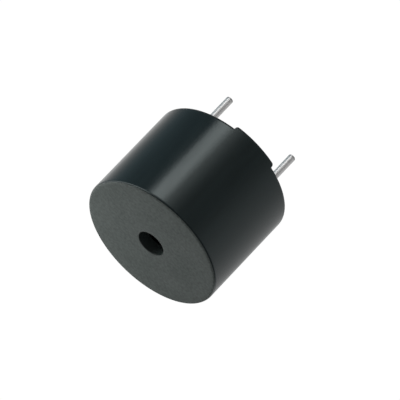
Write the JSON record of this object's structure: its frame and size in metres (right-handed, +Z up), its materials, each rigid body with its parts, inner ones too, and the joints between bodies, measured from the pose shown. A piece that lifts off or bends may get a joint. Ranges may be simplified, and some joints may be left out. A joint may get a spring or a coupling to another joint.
{
  "type": "magnetic buzzer",
  "caption": "Round black self-driven magnetic buzzer: moulded cup with a flat sound face and centre port, coil, magnet and diaphragm inside, and tinned wire pins out of its resin-sealed base.",
  "frame": {"origin": "centre of the seating plane under the two feet, midway between the pins", "axes": "+Z up along the sound axis, out of the sound port; +X along the pin row, from the positive (longer) pin to the negative pin"},
  "size_m": [0.012, 0.012, 0.0141],
  "materials": {
    "case_plastic": "satin moulded wall, fine spark texture on the sound face",
    "ring_plastic": "moulded",
    "spring_steel": "rolled",
    "soft_iron": "plated",
    "bonded_magnet": "matt grey",
    "bobbin_plastic": "natural nylon",
    "enamelled_copper": "clear enamel over copper",
    "board_laminate": "paper laminate",
    "chip_moulding": "moulded",
    "chip_ceramic": "fired",
    "tinned_wire": "bright tin",
    "solder": "bright solder",
    "cast_resin": "self-levelled"
  },
  "bodies": {
    "root": {"case": "case_plastic", "support_ring": "ring_plastic", "diaphragm": "spring_steel", "armature_disc": "soft_iron", "yoke_plate": "soft_iron", "pole_core": "soft_iron", "ring_magnet": "bonded_magnet", "coil_bobbin": "bobbin_plastic", "coil_winding": "enamelled_copper", "coil_lead_start": "enamelled_copper", "coil_lead_finish": "enamelled_copper", "circuit_board": "board_laminate", "transistor_body": "chip_moulding", "transistor_legs": "tinned_wire", "base_resistor": "chip_ceramic", "resistor_end_caps": "solder", "positive_pin": "tinned_wire", "negative_pin": "tinned_wire", "positive_pin_solder": "solder", "negative_pin_solder": "solder", "coil_start_solder": "solder", "coil_finish_solder": "solder", "sealing_resin": "cast_resin"}
  },
  "joints": []
}
